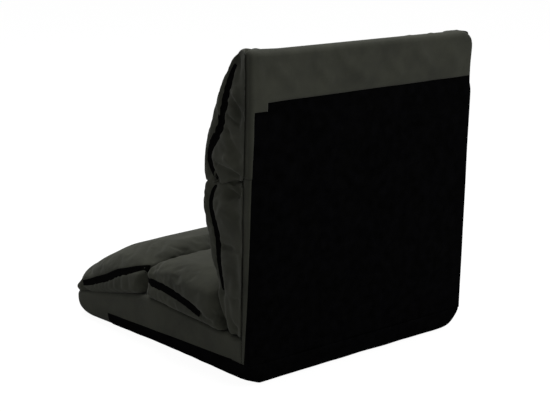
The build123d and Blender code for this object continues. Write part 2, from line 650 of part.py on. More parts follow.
# ---- the four cushions and their black end gussets ----
def cushions():
    back_half = HALF_WIDTH + BACK_CUSHION_OVERHANG
    crotch = PAD_REAR_HEIGHT + CUSHION_GAP + STAND_OFF
    above, below = PINCH_HEIGHT + CUSHION_GAP / 2, PINCH_HEIGHT - CUSHION_GAP / 2
    shoulder, waist = BACK_HEIGHT - SHOULDER_DROP, PAD_REAR_HEIGHT + WAIST_RISE
    top = BACK_HEIGHT - EDGE_SETBACK
    upper = [(above, 0), (top, 0), (top - EDGE_SETBACK, TOP_EDGE_DEPTH), (shoulder, SHOULDER_DEPTH),
             (above, PINCH_DEPTH)]
    upper_bows = (0, SMALL_SWELL, SHOULDER_SWELL, UPPER_SWELL, 0)
    write_back("back_upper_cushion", cushion(upper, upper_bows, back_half, on_board))
    lower = [(crotch, 0), (below, 0), (below, PINCH_DEPTH), (waist, WAIST_DEPTH), (crotch, CROTCH_DEPTH)]
    lower_bows = (0, 0, LOWER_SWELL, SMALL_SWELL, 0)
    write_back("back_lower_cushion", cushion(lower, lower_bows, back_half, on_board))

    rear_half = HALF_WIDTH + REAR_CUSHION_OVERHANG
    front_half = HALF_WIDTH + FRONT_CUSHION_OVERHANG
    start = CORNER_RADIUS + FOLD_RELIEF_AHEAD + EDGE_SETBACK
    valley = PAD_PEAK_AHEAD - EDGE_SETBACK
    rear = [(start, 0), (start + REAR_PUFF_LEAN, REAR_PUFF_HEIGHT),
            (valley - VALLEY_LEAN, VALLEY_HEIGHT), (valley, 0)]
    write("seat_rear_cushion", cushion(rear, (0, REAR_PUFF_SWELL, END_SWELL, 0), rear_half, on_pad))
    beyond = valley + VALLEY_LEAN
    lip = SEAT_LENGTH - NOSE_TOP_SETBACK - 2 * EDGE_SETBACK
    nose = SEAT_LENGTH - FRONT_PUFF_SETBACK
    front = [(beyond, 0), (beyond + VALLEY_LEAN / 2, VALLEY_HEIGHT),
             (nose, VALLEY_HEIGHT - FRONT_PUFF_DROP),
             (SEAT_LENGTH - NOSE_BULGE_SETBACK, NOSE_BULGE_HEIGHT), (lip, 0)]
    front_bows = (0, FRONT_PUFF_SWELL, END_SWELL, SMALL_SWELL, 0)
    nose_end = (NOSE_END_ROUND, NOSE_END_INSET)
    write("seat_front_cushion", cushion(front, front_bows, front_half, on_pad, *nose_end))

    # each black strip's middle line: along its cushion, and out from the board or the pad
    upper_rise, lower_drop = BACK_HEIGHT - PINCH_HEIGHT, PINCH_HEIGHT - PAD_REAR_HEIGHT
    upper_route = [(PINCH_HEIGHT + upper_rise * share, PINCH_DEPTH * out)
                   for share, out in ((0.10, 0.77), (0.18, 0.85), (0.32, 0.72), (0.64, 0.44), (0.86, 0.23))]
    lower_route = [(PINCH_HEIGHT - lower_drop * share, PINCH_DEPTH * out)
                   for share, out in ((0.07, 0.79), (0.20, 0.90), (0.38, 0.74), (0.74, 0.57))]
    rear_length, front_length = valley - start, lip - beyond
    rear_route = [(start + rear_length * share, REAR_PUFF_HEIGHT * out)
                  for share, out in ((0.93, 0.39), (0.62, 0.36), (0.30, 0.16))]
    front_route = [(beyond + front_length * share, VALLEY_HEIGHT * out)
                   for share, out in ((0.15, 0.61), (0.46, 0.54), (0.82, 0.39))]
    for name, side in SIDES.items():
        write_back(f"{name}_back_upper_gusset", gusset(upper_route, on_board, back_half, side))
        write_back(f"{name}_back_lower_gusset", gusset(lower_route, on_board, back_half, side))
        write(f"{name}_seat_rear_gusset", gusset(rear_route, on_pad, rear_half, side, end_share=1))
        write(f"{name}_seat_front_gusset", gusset(front_route, on_pad, front_half, side))


seat_covers()
seat_foam()
seat_frame()
seat_straps()
hinges()
corner()
back_covers()
back_frame()
back_straps_and_foam()
cushions()
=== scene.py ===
import json
import math

import bmesh
import bpy
import numpy as np
from mathutils import Matrix, Vector, noise
from mathutils.bvhtree import BVHTree

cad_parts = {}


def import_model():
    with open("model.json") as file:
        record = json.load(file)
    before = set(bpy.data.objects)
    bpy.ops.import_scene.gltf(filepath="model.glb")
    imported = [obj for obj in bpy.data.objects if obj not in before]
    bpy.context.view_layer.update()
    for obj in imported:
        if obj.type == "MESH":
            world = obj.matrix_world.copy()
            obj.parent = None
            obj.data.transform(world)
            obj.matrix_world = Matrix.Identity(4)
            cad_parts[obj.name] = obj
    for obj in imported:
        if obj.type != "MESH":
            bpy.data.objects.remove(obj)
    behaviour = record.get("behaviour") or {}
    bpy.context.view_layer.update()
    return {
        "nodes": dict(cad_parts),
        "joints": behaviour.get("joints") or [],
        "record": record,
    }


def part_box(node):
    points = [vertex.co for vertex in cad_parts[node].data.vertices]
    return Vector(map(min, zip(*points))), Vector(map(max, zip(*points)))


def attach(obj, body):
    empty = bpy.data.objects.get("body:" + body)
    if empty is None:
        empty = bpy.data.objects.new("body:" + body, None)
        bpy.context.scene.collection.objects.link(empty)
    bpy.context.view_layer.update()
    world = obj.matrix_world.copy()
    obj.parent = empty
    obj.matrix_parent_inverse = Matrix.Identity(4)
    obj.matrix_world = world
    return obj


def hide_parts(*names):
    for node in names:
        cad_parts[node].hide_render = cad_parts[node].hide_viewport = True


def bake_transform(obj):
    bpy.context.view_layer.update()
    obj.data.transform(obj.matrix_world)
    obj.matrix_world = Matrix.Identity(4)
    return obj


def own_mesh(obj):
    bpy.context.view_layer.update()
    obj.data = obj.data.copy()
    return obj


# The dressed folding floor chair: four filled cushions in suede-like microfibre, the covers of
# the seat pad and the back board, the thin black backing cloth behind and below, and inside
# them foam, straps, a steel tube frame and two ratchet hinges.
# Metres. The sitter faces -Y; "ahead" means ahead of the back's rear face at rest.

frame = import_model()
MM = 0.001

# ---- places read from the frame ----
hinge = Vector(next(j["pos_m"] for j in frame["joints"] if j["name"] == "back_hinge"))
CORNER_RADIUS = hinge.z
REAR = hinge.y + CORNER_RADIUS
HALF_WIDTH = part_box("back_suede_cover")[1].x
RECLINE = math.radians(1.0)
BOARD_DEPTH = 20 * MM
BACK_HEIGHT = hinge.z + (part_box("back_suede_hood")[1].z - hinge.z) / math.cos(RECLINE)
HOOD_HEM = BACK_HEIGHT - 83 * MM
PINCH_HEIGHT = BACK_HEIGHT - 218 * MM

# ---- the seat pad's shape, as distances ahead and heights ----
PAD_REAR = (CORNER_RADIUS, 87 * MM)
PAD_PEAK = (300 * MM, 97 * MM)
NOSE_TOP = (560 * MM, 43 * MM)
NOSE_LIP = (565 * MM, 28 * MM)
NOSE_START = 505 * MM
PLAN_CORNER = 36 * MM
SIDE_ROUNDS = ((0, 43 * MM), (200 * MM, 41 * MM), (300 * MM, 37 * MM), (430 * MM, 27 * MM),
               (500 * MM, 21 * MM))
PAD_TOP_ROUND = 8 * MM
BAND_AHEAD = 431 * MM
BAND_HEIGHTS = (48 * MM, 29 * MM)

# ---- the back board's shape; TOP_LINE is (across, up), and pairs of corners are near and far ----
BOARD_CORNERS = (5 * MM, 30 * MM)
HEEL_ROUNDS = (50 * MM, 16 * MM)
TOP_LINE = ((-0.26, -1.6 * MM), (0, -0.5 * MM), (0.2, 0.5 * MM), (0.235, 2.2 * MM), (0.26, 2.0 * MM))
BOARD_EDGE = 6 * MM
BOARD_CROWN = 14 * MM
PANEL_EDGE = (0.2538, 485 * MM)
HOOD_TAB = (26 * MM, 14 * MM)
SIDE_SEAM = 372 * MM
REAR_PUFF_OUT = 3.2 * MM

# ---- cloth: the suede-like one's thickness, and how much thinner the backing and tape are ----
CLOTH = 1.2 * MM
BACKING_SHARE = 0.6
PANEL_SHARE = 0.5
TAPE_SHARE = 0.7
GRID = 6 * MM
LAP = 8 * MM
PROUD = 0.9 * MM
LOWEST_CLOTH = -1.4 * MM
FLOOR_LEVEL = -1.5 * MM

# ---- how the cushions are filled ----
FILL_GRID = 5 * MM
FILL_FRAMES = 20
FILL_PRESSURE = 4.0
FILL_CAP = 14 * MM
FILL_HELD = 0.8
SEWN_REACH = 7 * MM
RIM_OUT = 3.8 * MM
CREASE_REACH = 70 * MM
FOAM_SLACK = 0.4 * MM
FOAM_ROOM = 4 * MM


def ahead(distance):
    """The Y place of a point this far ahead of the back's rear face."""
    return REAR - distance


# ---- small mesh tools ----
def pick(piece):
    """Make a piece the one that operators act on."""
    bpy.ops.object.select_all(action="DESELECT")
    piece.select_set(True)
    bpy.context.view_layer.objects.active = piece


def points_of(piece):
    """A piece's points, as an array with a row for each."""
    co = np.zeros(len(piece.data.vertices) * 3, np.float32)
    piece.data.vertices.foreach_get("co", co)
    return co.reshape(-1, 3).astype(float)


def set_points(piece, co):
    piece.data.vertices.foreach_set("co", np.asarray(co, np.float32).ravel())
    piece.data.update()


def normals_of(piece):
    n = np.zeros(len(piece.data.vertices) * 3, np.float32)
    piece.data.vertex_normals.foreach_get("vector", n)
    return n.reshape(-1, 3).astype(float)


def modify(piece, kind, **settings):
    """Add a modifier, set it up and apply it."""
    pick(piece)
    modifier = piece.modifiers.new(kind.title(), kind)
    for name, value in settings.items():
        setattr(modifier, name, value)
    bpy.ops.object.modifier_apply(modifier=modifier.name)


def new_piece(name, points, faces):
    """A new mesh piece; its doubled points are merged, and its faces made to point outwards."""
    mesh = bpy.data.meshes.new(name)
    mesh.from_pydata([tuple(p) for p in points], [], faces)
    piece = bpy.data.objects.new(name, mesh)
    bpy.context.scene.collection.objects.link(piece)
    pick(piece)
    bpy.ops.object.mode_set(mode="EDIT")
    bpy.ops.mesh.select_all(action="SELECT")
    bpy.ops.mesh.remove_doubles(threshold=0.02 * MM)
    bpy.ops.mesh.normals_make_consistent(inside=False)
    bpy.ops.object.mode_set(mode="OBJECT")
    return piece


def skin_over(name, rows, ring):
    """A skin of four-sided faces over rows of points; a ring's rows close on themselves."""
    count = len(rows[0])
    faces = []
    for i in range(len(rows) - 1):
        for j in range(count if ring else count - 1):
            k = (j + 1) % count
            faces.append((i * count + j, i * count + k, (i + 1) * count + k, (i + 1) * count + j))
    return new_piece(name, [p for row in rows for p in row], faces)


def copy_of(source, name):
    """A copy of a piece or a CAD node, its loose triangles merged."""
    piece = bpy.data.objects.new(name, source.data.copy())
    bpy.context.scene.collection.objects.link(piece)
    pick(piece)
    bpy.ops.object.mode_set(mode="EDIT")
    bpy.ops.mesh.select_all(action="SELECT")
    bpy.ops.mesh.remove_doubles(threshold=0.01 * MM)
    bpy.ops.object.mode_set(mode="OBJECT")
    piece.data.materials.clear()
    return piece


def cut_out(form, name, cuts, keep):
    """A cloth piece cut from a form along flat cuts: the faces whose middle passes keep."""
    piece = copy_of(form, name)
    bm = bmesh.new()
    bm.from_mesh(piece.data)
    for place, normal in cuts:
        geom = bm.verts[:] + bm.edges[:] + bm.faces[:]
        bmesh.ops.bisect_plane(bm, geom=geom, dist=0.01 * MM, plane_co=place, plane_no=normal)
    gone = [face for face in bm.faces if not keep(face.calc_center_median())]
    bmesh.ops.delete(bm, geom=gone, context="FACES")
    bm.to_mesh(piece.data)
    bm.free()
    return piece


def thicken(piece, thickness, proud=0.0):
    """Give cloth its thickness, inwards from a face that stands proud of the form."""
    if proud:
        set_points(piece, points_of(piece) + normals_of(piece) * proud)
    modify(piece, "SOLIDIFY", thickness=thickness, offset=-1)


def tree_of(piece):
    """A search tree over a piece's faces."""
    return BVHTree.FromPolygons([v.co for v in piece.data.vertices],
                                [p.vertices[:] for p in piece.data.polygons])


def dress(piece, material, nodes=(), body=None):
    """Give a finished piece its material, its body, and the CAD nodes it stands for."""
    piece.data.materials.clear()
    piece.data.materials.append(materials[material])
    pick(piece)
    bpy.ops.object.shade_smooth()
    if body:
        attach(piece, body)
    if nodes:
        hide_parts(*nodes)
    return piece


# ---- routes and creases ----
def smooth_route(points, step=4 * MM):
    """Points at even steps along a smooth curve through the given ones."""
    p = np.array([points[0]] + list(points) + [points[-1]], float)
    out = []
    for a, b, c, d in zip(p, p[1:], p[2:], p[3:]):
        count = max(2, int(np.linalg.norm(c - b) / step))
        for t in np.linspace(0, 1, count, endpoint=False):
            out.append(0.5 * (2 * b + (c - a) * t + (2 * a - 5 * b + 4 * c - d) * t**2
                              + (3 * b - a - 3 * c + d) * t**3))
    return np.array(out + [p[-1]])


def end_line(route):
    """The smooth line through (ahead, up) points in millimetres, as seen from the chair's side."""
    return smooth_route([(ahead(a * MM), z * MM) for a, z in route])


def distance_to(places, route):
    """How far flat places are from a route of short straight runs."""
    best = np.full(len(places), np.inf)
    for a, b in zip(route, route[1:]):
        run = b - a
        along = np.clip((places - a) @ run / max(run @ run, 1e-12), 0, 1)
        best = np.minimum(best, np.linalg.norm(places - a - along[:, None] * run, axis=1))
    return best


def fade(values, low, high):
    """0 below low, 1 above high, and a smooth rise between."""
    t = np.clip((values - low) / (high - low), 0, 1)
    return t * t * (3 - 2 * t)


def press_end(piece, side, route, width, depth, reach=CREASE_REACH):
    """Press a crease into a cushion's end, dying away inwards and at the board.

    A negative depth raises it. route: (ahead, up) points; width and depth: in millimetres."""
    co, normals = points_of(piece), normals_of(piece)
    near = np.exp(-(distance_to(co[:, 1:], end_line(route)) / (width * MM)) ** 2)
    outer = side * co[:, 0]
    at_end = fade(outer, outer.max() - reach, outer.max() - 0.2 * reach)
    weight = near * at_end * fade(off_board(co), 0, 12 * MM)
    set_points(piece, co - normals * (weight * depth * MM)[:, None])


def rear_side(co):
    """1 on the board's rear face, falling to 0 a little way round its edges."""
    return fade(co[:, 1], ahead(8 * MM), ahead(0))


def press_face(piece, folds):
    """Press creases into the hood's rear face, or raise ridges with a negative depth.

    folds: (across, up) points with a width and a depth, in millimetres."""
    co, normals = points_of(piece), normals_of(piece)
    rear = rear_side(co) * fade(co[:, 2], HOOD_HEM + LAP, HOOD_HEM + 26 * MM)
    for route, width, depth in folds:
        line = smooth_route([(x * MM, z * MM) for x, z in route])
        near = np.exp(-(distance_to(co[:, [0, 2]], line) / (width * MM)) ** 2)
        co = co - normals * (near * rear * depth * MM)[:, None]
    set_points(piece, co)


def ripple(piece, size, height, seed, mask=None, lift=0.0):
    """Soft unevenness of a cloth face, this large across and this high."""
    co, normals = points_of(piece), normals_of(piece)
    shift = Vector((seed * 3.1, seed * 1.7, seed * 2.3))
    wave = np.array([noise.noise(Vector(p) / size + shift) for p in co]) + lift
    if mask is not None:
        wave = wave * mask(co)
    set_points(piece, co + normals * (wave * height)[:, None])


# ---- materials ----
def linear(code):
    """A colour from its sRGB hex code."""
    channels = [int(code[i:i + 2], 16) / 255 for i in (1, 3, 5)]
    return [c / 12.92 if c <= 0.04045 else ((c + 0.055) / 1.055) ** 2.4 for c in channels] + [1.0]


def add(material, kind, links=(), values=(), **settings):
    """Add a node to a material: settings, links as (input, node, output), and input values."""
    node = material.node_tree.nodes.new(kind)
    for name, value in settings.items():
        setattr(node, name, value)
    for place, source, output in links:
        material.node_tree.links.new(source.outputs[output], node.inputs[place])
    for place, value in values:
        node.inputs[place].default_value = value
    return node


def shader(name, **values):
    """A material and its shader, whose even values are set on the sockets."""
    material = bpy.data.materials.new(name)
    material.use_nodes = True
    skin = material.node_tree.nodes["Principled BSDF"]
    for place, value in values.items():
        skin.inputs[place.replace("_", " ")].default_value = value
    return material, skin


def join(material, skin, colour, bump, roughness=None):
    """Lead a material's patterns into its shader."""
    links = material.node_tree.links
    links.new(colour.outputs[0], skin.inputs["Base Color"])
    links.new(bump.outputs["Normal"], skin.inputs["Normal"])
    if roughness:
        links.new(roughness.outputs[0], skin.inputs["Roughness"])
    return material


def two_tone(material, source, output, dark, light, low=0.3, high=0.7):
    """A ramp between two hex colours, led by a pattern."""
    ramp = add(material, "ShaderNodeValToRGB", [("Fac", source, output)])
    ramp.color_ramp.elements[0].position = low
    ramp.color_ramp.elements[0].color = linear(dark)
    ramp.color_ramp.elements[1].position = high
    ramp.color_ramp.elements[1].color = linear(light)
    return ramp


def suede():
    """Brushed polyester microfibre: a short nap with no gloss. The nap lies this way and that,
    in soft patches about 60 mm across, and its fibres, near 0.3 mm, are drawn at 1.2 mm."""
    material, skin = shader("brushed_microfibre_suede", Roughness=0.95, Specular_IOR_Level=0.1,
                            Sheen_Weight=0.05, Sheen_Roughness=0.5)
    place = add(material, "ShaderNodeTexCoord")
    nap = add(material, "ShaderNodeTexNoise", [("Vector", place, "Object")],
              [("Scale", 1 / (60 * MM)), ("Detail", 6.0), ("Roughness", 0.62)])
    colour = two_tone(material, nap, "Fac", "#2f302a", "#3a3b33", 0.32, 0.7)
    fibre = add(material, "ShaderNodeTexNoise", [("Vector", place, "Object")],
                [("Scale", 1 / (1.2 * MM)), ("Detail", 3.0)])
    pile = add(material, "ShaderNodeBump", [("Height", fibre, "Fac")],
               [("Strength", 0.25), ("Distance", 0.4 * MM)])
    patches = add(material, "ShaderNodeTexNoise", [("Vector", place, "Object")],
                  [("Scale", 1 / (9 * MM)), ("Detail", 4.0)])
    bump = add(material, "ShaderNodeBump", [("Height", patches, "Fac"), ("Normal", pile, "Normal")],
               [("Strength", 0.35), ("Distance", 1.0 * MM)])
    return join(material, skin, colour, bump)


def spunbond():
    """Spunbonded polypropylene backing cloth: dull black, embossed with dots 2.5 mm apart."""
    material, skin = shader("spunbonded_backing_cloth", Roughness=0.9, Specular_IOR_Level=0.01)
    place = add(material, "ShaderNodeTexCoord")
    dots = add(material, "ShaderNodeTexVoronoi", [("Vector", place, "Object")],
               [("Scale", 1 / (2.5 * MM)), ("Randomness", 0.25)])
    fibres = add(material, "ShaderNodeTexNoise", [("Vector", place, "Object")],
                 [("Scale", 1 / (18 * MM)), ("Detail", 8.0)])
    colour = two_tone(material, fibres, "Fac", "#020202", "#060607")
    bump = add(material, "ShaderNodeBump", [("Height", dots, "Distance")],
               [("Strength", 0.4), ("Distance", 0.3 * MM)])
    return join(material, skin, colour, bump)


def side_tape():
    """Woven polyester tape let into the cushions' ends: deep black, with slanting ribs about
    3 mm apart."""
    material, skin = shader("woven_black_tape", Roughness=0.85, Specular_IOR_Level=0.01)
    place = add(material, "ShaderNodeTexCoord")
    rib = add(material, "ShaderNodeTexWave", [("Vector", place, "Object")],
              [("Scale", 1 / (6.3 * MM)), ("Distortion", 0.6)], bands_direction="DIAGONAL")
    colour = two_tone(material, rib, "Fac", "#020202", "#060606")
    bump = add(material, "ShaderNodeBump", [("Height", rib, "Fac")],
               [("Strength", 0.4), ("Distance", 0.25 * MM)])
    return join(material, skin, colour, bump)


def foam():
    """Open-cell polyurethane foam: cream, dull, with cells about 1.5 mm across."""
    material, skin = shader("polyurethane_foam", Roughness=0.95, Specular_IOR_Level=0.1)
    place = add(material, "ShaderNodeTexCoord")
    cells = add(material, "ShaderNodeTexVoronoi", [("Vector", place, "Object")],
                [("Scale", 1 / (1.5 * MM))])
    colour = two_tone(material, cells, "Distance", "#d8cfa8", "#c3b88c", 0.1, 0.6)
    bump = add(material, "ShaderNodeBump", [("Height", cells, "Distance")],
               [("Strength", 0.7), ("Distance", 0.6 * MM)])
    return join(material, skin, colour, bump)


def webbing():
    """Woven polypropylene strap: black, with a slanting weave that catches a little light."""
    material, skin = shader("woven_polypropylene_strap", Roughness=0.6, Specular_IOR_Level=0.3)
    place = add(material, "ShaderNodeTexCoord")
    weft = add(material, "ShaderNodeTexWave", [("Vector", place, "Object")],
               [("Scale", 1 / (12.6 * MM)), ("Distortion", 1.0)], bands_direction="DIAGONAL")
    colour = two_tone(material, weft, "Fac", "#101010", "#26262a")
    bump = add(material, "ShaderNodeBump", [("Height", weft, "Fac")],
               [("Strength", 0.6), ("Distance", 0.4 * MM)])
    return join(material, skin, colour, bump)


def coated_tube():
    """Powder-coated steel tube: satin black with a faint orange-peel surface."""
    material, skin = shader("powder_coated_steel_tube", Roughness=0.42, Specular_IOR_Level=0.5)
    place = add(material, "ShaderNodeTexCoord")
    peel = add(material, "ShaderNodeTexNoise", [("Vector", place, "Object")],
               [("Scale", 1 / (2.0 * MM)), ("Detail", 2.0)])
    colour = two_tone(material, peel, "Fac", "#181819", "#232325")
    bump = add(material, "ShaderNodeBump", [("Height", peel, "Fac")],
               [("Strength", 0.15), ("Distance", 0.1 * MM)])
    return join(material, skin, colour, bump)


def plated_steel():
    """Zinc-plated pressed steel: a cool grey metal whose colour and gloss are cloudy."""
    material, skin = shader("zinc_plated_steel", Metallic=1.0)
    place = add(material, "ShaderNodeTexCoord")
    cloud = add(material, "ShaderNodeTexNoise", [("Vector", place, "Object")],
                [("Scale", 1 / (8 * MM)), ("Detail", 5.0)])
    colour = two_tone(material, cloud, "Fac", "#a9a8a2", "#c9c8c4")
    rough = add(material, "ShaderNodeMapRange", [("Value", cloud, "Fac")],
                [("To Min", 0.3), ("To Max", 0.48)])
    bump = add(material, "ShaderNodeBump", [("Height", cloud, "Fac")],
               [("Strength", 0.1), ("Distance", 0.1 * MM)])
    return join(material, skin, colour, bump, rough)


materials = {
    "suede": suede(), "backing": spunbond(), "gusset": side_tape(), "foam": foam(),
    "webbing": webbing(), "tube": coated_tube(), "steel": plated_steel(),
}


# ---- the seat pad ----
def pad_top(distance):
    """Height of the seat pad's top at a distance ahead of the back's rear face."""
    return np.interp(distance, *zip(PAD_REAR, PAD_PEAK, NOSE_TOP))


def pad_bottom(distance):
    """Height of the pad's underside: flat, then an arc up to the nose's lip."""
    run, rise = NOSE_LIP[0] - NOSE_START, NOSE_LIP[1]
    radius = (run**2 + rise**2) / (2 * rise)
    return radius - np.sqrt(radius**2 - np.clip(distance - NOSE_START, 0, run) ** 2)


def side_round(distance):
    """Radius of the pad's lower side edges, larger toward the rear."""
    return float(np.interp(distance, *zip(*SIDE_ROUNDS)))


def round_off(share):
    """How much of a quarter round is left, this share of the way along it."""
    return math.sqrt(max(0, 1 - share**2))


def rounded_section(half, low, high, low_round, high_round, step=GRID):
    """(across, up) points round a section with rounded corners, always as many of them."""
    flat = np.linspace(0, 1, int(HALF_WIDTH / step), endpoint=False)
    turn = np.radians(np.linspace(0, 90, 6, endpoint=False))
    wall = np.linspace(0, 1, 9, endpoint=False)
    right = [(t * (half - low_round), low) for t in flat]
    right += [(half - low_round * (1 - math.sin(a)), low + low_round * (1 - math.cos(a))) for a in turn]
    right += [(half, low + low_round + t * (high - low - low_round - high_round)) for t in wall]
    right += [(half - high_round * (1 - math.cos(a)), high - high_round * (1 - math.sin(a))) for a in turn]
    right += [((1 - t) * (half - high_round), high) for t in flat] + [(0, high)]
    return right + [(-x, z) for x, z in reversed(right[1:-1])]


def pad_form():
    """The seat pad's outer skin, closed at its nose and open where it meets the board."""
    places = list(np.arange(BOARD_DEPTH - 3 * MM, NOSE_TOP[0], GRID))
    places += [NOSE_TOP[0] + (NOSE_LIP[0] - NOSE_TOP[0]) * s for s in (0, 0.35, 0.65, 0.87, 1)]
    corner_start = NOSE_LIP[0] - PLAN_CORNER
    rows = []
    for a in places:
        past = max(0, a - corner_start) / PLAN_CORNER
        half = HALF_WIDTH - PLAN_CORNER * (1 - round_off(past))
        tip = max(0, a - NOSE_TOP[0]) / (NOSE_LIP[0] - NOSE_TOP[0])
        low, high = float(pad_bottom(a)), float(pad_top(a))
        if tip > 0:
            high = NOSE_LIP[1] + (NOSE_TOP[1] - NOSE_LIP[1]) * round_off(tip)
            low = NOSE_LIP[1] - (NOSE_LIP[1] - float(pad_bottom(NOSE_TOP[0]))) * round_off(tip)
        rounds = min(side_round(a), 0.7 * (high - low)), min(PAD_TOP_ROUND, 0.28 * (high - low))
        section = rounded_section(half, low, high, *rounds)
        rows.append([(x, ahead(a), z) for x, z in section])
    form = skin_over("pad_form", rows, ring=True)
    ripple(form, 70 * MM, 1.6 * MM, 1, lambda co: fade(co[:, 2], 10 * MM, 30 * MM))
    return form


def bend_with_pad(piece):
    """Bake a piece's placement into its points."""
    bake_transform(piece)


def seat_covers():
    """The pad's suede-like cover, and the black cloth under it and up its sides.

    At the bend the cover runs on past the pad, over the corner foam, to the board's foot."""
    form = pad_form()
    slope = (BAND_HEIGHTS[0] - BAND_HEIGHTS[1]) / BAND_AHEAD
    bend_start, bend_low = ahead(CORNER_RADIUS + 0.3 * MM), hinge.z - LAP / 2

    def cuts(lap):
        front = BAND_AHEAD - lap
        top = (Vector((0, ahead(0), BAND_HEIGHTS[0] - lap)), Vector((0, -slope, 1)).normalized())
        end = (Vector((0, ahead(front), 0)), Vector((0, 1, 0)))
        bend = (Vector((0, bend_start, 0)), Vector((0, 1, 0)))
        foot = (Vector((0, 0, bend_low)), Vector((0, 0, 1)))

        def inside(c):
            return c.y > ahead(front) and c.z < BAND_HEIGHTS[0] - lap + slope * (c.y - ahead(0))
        return (top, end, bend, foot), inside

    planes, is_band = cuts(0)
    band = cut_out(form, "seat_bottom_cloth", planes, lambda c: is_band(c) and c.y < bend_start)
    planes, under_lap = cuts(LAP)
    cover = cut_out(form, "seat_pad_cover", planes,
                    lambda c: not under_lap(c) and (c.y < bend_start or c.z > bend_low))
    bpy.data.objects.remove(form)
    ripple(band, 30 * MM, 0.5 * MM, 2)
    thicken(band, CLOTH * BACKING_SHARE, PROUD)
    thicken(cover, CLOTH)
    co = points_of(cover)
    at_side = np.sign(co[:, 0]) * fade(np.abs(co[:, 0]), HALF_WIDTH - 10 * MM, HALF_WIDTH - 2 * MM)
    over_board = fade(co[:, 1], ahead(40 * MM), ahead(24 * MM))
    co[:, 0] += 0.8 * MM * at_side * over_board
    set_points(cover, co)
    stay_on_floor(band)
    dress(band, "backing", ["seat_backing_cloth"], "seat")
    dress(cover, "suede", ["seat_suede_cover", "left_corner_gusset", "right_corner_gusset"])
    bend_with_pad(cover)


# ---- the corner under the back ----
def end_reach(height, y, heel_round):
    """Half the width at a height, where the lower edges and the heel's upright edge are rounded."""
    lower_round = side_round(0)
    below = np.clip(lower_round - height, 0, lower_round)
    heel = heel_round * (1 - float(fade(np.array(height), 12 * MM, CORNER_RADIUS))) + 0.1 * MM
    behind = np.clip(y - ahead(heel), 0, heel)
    sides = lower_round - np.sqrt(lower_round**2 - below**2)
    return HALF_WIDTH - sides - (heel - math.sqrt(heel**2 - behind**2))


def stay_on_floor(piece):
    """Keep a cloth under the chair just clear of the floor that is drawn."""
    co = points_of(piece)
    co[:, 2] = np.maximum(co[:, 2], LOWEST_CLOTH)
    set_points(piece, co)


def corner_cloth():
    """The black cloth that turns from under the seat up to the back, round the hinge axis.

    It bulges a little past the foam's round, except where it lies on the floor."""
    rows = []
    for angle in np.radians(np.linspace(0, 90, 19)):
        edge_round = BOARD_EDGE * math.sin(angle) ** 2 + 0.01 * MM
        bulge = REAR_PUFF_OUT * (1 + 0.7 * math.sin(2 * angle))
        outer = min(CORNER_RADIUS + bulge, CORNER_RADIUS / max(0.1, math.cos(angle)))
        halves = []
        for heel_round in HEEL_ROUNDS:
            def reach(r):
                height, y = hinge.z - r * math.cos(angle), hinge.y + r * math.sin(angle)
                return end_reach(max(0, height), min(REAR, y), heel_round)
            wall = [(r, reach(r)) for r in np.linspace(0, outer - edge_round, 10, endpoint=False)]
            for turn in np.radians(np.linspace(0, 90, 6)):
                r = outer - edge_round * (1 - math.sin(turn))
                wall.append((r, reach(r) - edge_round * (1 - math.cos(turn))))
            inwards = np.linspace(wall[-1][1], 0, int(HALF_WIDTH / GRID))[1:]
            halves.append(wall + [(outer, x) for x in inwards])
        row = halves[0] + [(r, -x) for r, x in reversed(halves[1][:-1])]
        rows.append([(x, hinge.y + r * math.sin(angle), hinge.z - r * math.cos(angle)) for r, x in row])
    piece = skin_over("corner_cloth", rows, ring=False)
    ripple(piece, 60 * MM, 1.0 * MM, 3)
    thicken(piece, CLOTH * BACKING_SHARE, PROUD)
    stay_on_floor(piece)
    dress(piece, "backing", ["corner_backing_cloth"])
    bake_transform(piece)


# ---- the back board ----
def lean(piece):
    """Lean a piece that was made upright back to the board's rest angle."""
    turn = Matrix.Rotation(-RECLINE, 4, "X")
    piece.data.transform(Matrix.Translation(hinge) @ turn @ Matrix.Translation(-hinge))
    piece.data.update()


def board_form():
    """The upright board's outer skin, open at its foot, with soft edges."""
    low = hinge.z + 0.6 * MM
    round_start = BACK_HEIGHT - BOARD_CROWN
    heights = list(np.arange(low, round_start, GRID))
    heights += [round_start + BOARD_CROWN * math.sin(math.radians(a)) for a in (0, 18, 36, 54, 72, 84, 90)]
    rows = []
    for z in heights:
        reach = []
        for corner in BOARD_CORNERS:
            past = max(0, z - (BACK_HEIGHT - corner)) / corner
            reach.append(HALF_WIDTH - corner * (1 - round_off(past)))
        thick = BOARD_DEPTH * round_off(max(0, z - round_start) / BOARD_CROWN)
        front = ahead(BOARD_DEPTH / 2) - thick / 2
        edge = min(BOARD_EDGE, 0.45 * thick)
        section = rounded_section(HALF_WIDTH, front, front + thick, edge, edge)
        at_top = float(fade(np.array(z), BACK_HEIGHT - 60 * MM, BACK_HEIGHT))
        row = []
        for x, y in section:
            out = x * reach[0 if x > 0 else 1] / HALF_WIDTH
            drawn_out = 1.2 * MM * float(fade(np.array(-x), 0.2, HALF_WIDTH))
            rise = at_top * float(np.interp(x, *zip(*TOP_LINE)))
            row.append((out - drawn_out, y, z + rise))
        rows.append(row)
    return skin_over("board_form", rows, ring=True)


# soft folds in the hood: a route of (across, up), a width and a depth, in millimetres
HOOD_FOLDS = [([(246, 571), (120, 570), (0, 572), (-120, 571), (-235, 571)], 7, -2.6),
              ([(248, 558), (243, 530), (246, 500)], 6, -2.2), ([(212, 553), (170, 514)], 8, -4.2),
              ([(122, 550), (92, 518)], 7, -3.4), ([(66, 556), (8, 512)], 9, -4.6),
              ([(-40, 550), (-74, 518)], 8, -3.6), ([(-118, 553), (-162, 514)], 9, -4.0),
              ([(-200, 550), (-224, 518)], 8, -2.0)]


